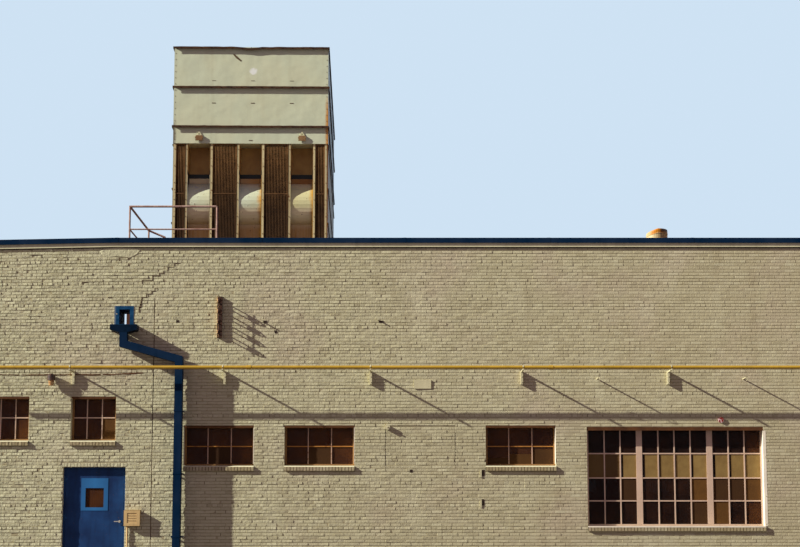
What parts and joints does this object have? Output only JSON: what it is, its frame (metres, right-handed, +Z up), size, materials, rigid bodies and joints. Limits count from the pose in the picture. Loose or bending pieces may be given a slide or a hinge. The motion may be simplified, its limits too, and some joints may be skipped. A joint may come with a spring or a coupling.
{
  "type": "factory building",
  "caption": "Single-storey painted-brick factory building with steel windows, a hinged door, a wall pipe, a scupper and downspout, and a rooftop cooling unit with three fan housings.",
  "frame": {"origin": "middle of the building's footprint at ground level", "axes": "+X along the street front to the right, +Y from the street front to the rear, +Z up"},
  "size_m": [19.35, 19.1, 12.785],
  "materials": {
    "painted_brick": "matte",
    "concrete": "matte",
    "roofing": "matte",
    "blue_metal": "satin",
    "cream_trim": "satin",
    "sash_paint": "satin",
    "window_glass": "gloss",
    "handle_metal": "satin",
    "yellow_paint": "satin",
    "rusty_steel": "rough",
    "lamp_metal": "satin",
    "orange_paint": "satin",
    "dark_plastic": "matte",
    "unit_paint": "satin"
  },
  "bodies": {
    "building": {"floor_slab": "concrete", "wall_front_left": "painted_brick", "wall_over_door": "painted_brick", "wall_front_middle": "painted_brick", "wall_big_window_bay": "painted_brick", "wall_front_right": "painted_brick", "wall_front_upper": "painted_brick", "walls_side": "painted_brick", "wall_rear": "painted_brick", "brick_infill": "painted_brick", "roof_deck": "roofing", "roof_beams": "rusty_steel", "coping_front": "blue_metal", "copings_side": "blue_metal", "coping_rear": "blue_metal", "band_front": "cream_trim", "lintel_angles": "rusty_steel", "window_sashes": "sash_paint", "big_window_sash": "sash_paint", "window_glass": "window_glass", "door_frame": "blue_metal", "scupper_head": "blue_metal", "downspout": "blue_metal", "gas_pipe": "yellow_paint", "pipe_brackets": "cream_trim", "wall_rack": "rusty_steel", "wall_lamp": "lamp_metal", "electric_box": "cream_trim", "wall_fittings": "cream_trim", "roof_vent": "orange_paint", "service_platform": "rusty_steel", "platform_rails": "rusty_steel", "unit_legs": "rusty_steel", "plenum_housing": "unit_paint", "fan_sides": "unit_paint", "unit_posts": "unit_paint", "fan_scrolls": "unit_paint", "inlet_screens": "rusty_steel", "casing_lower": "unit_paint", "casing_middle": "unit_paint", "casing_upper": "unit_paint", "casing_lips": "rusty_steel", "lifting_lugs": "rusty_steel", "drift_eliminators": "dark_plastic"},
    "door": {"door_leaf": "blue_metal", "door_glass": "window_glass", "door_handle": "handle_metal"}
  },
  "joints": [
    {"name": "door_hinge", "type": "hinge", "parent": "building", "child": "door", "pos_m": [-6.9835, -9.111, 1.1], "axis": [0, 0, -1], "range_deg": [0, 100]}
  ]
}
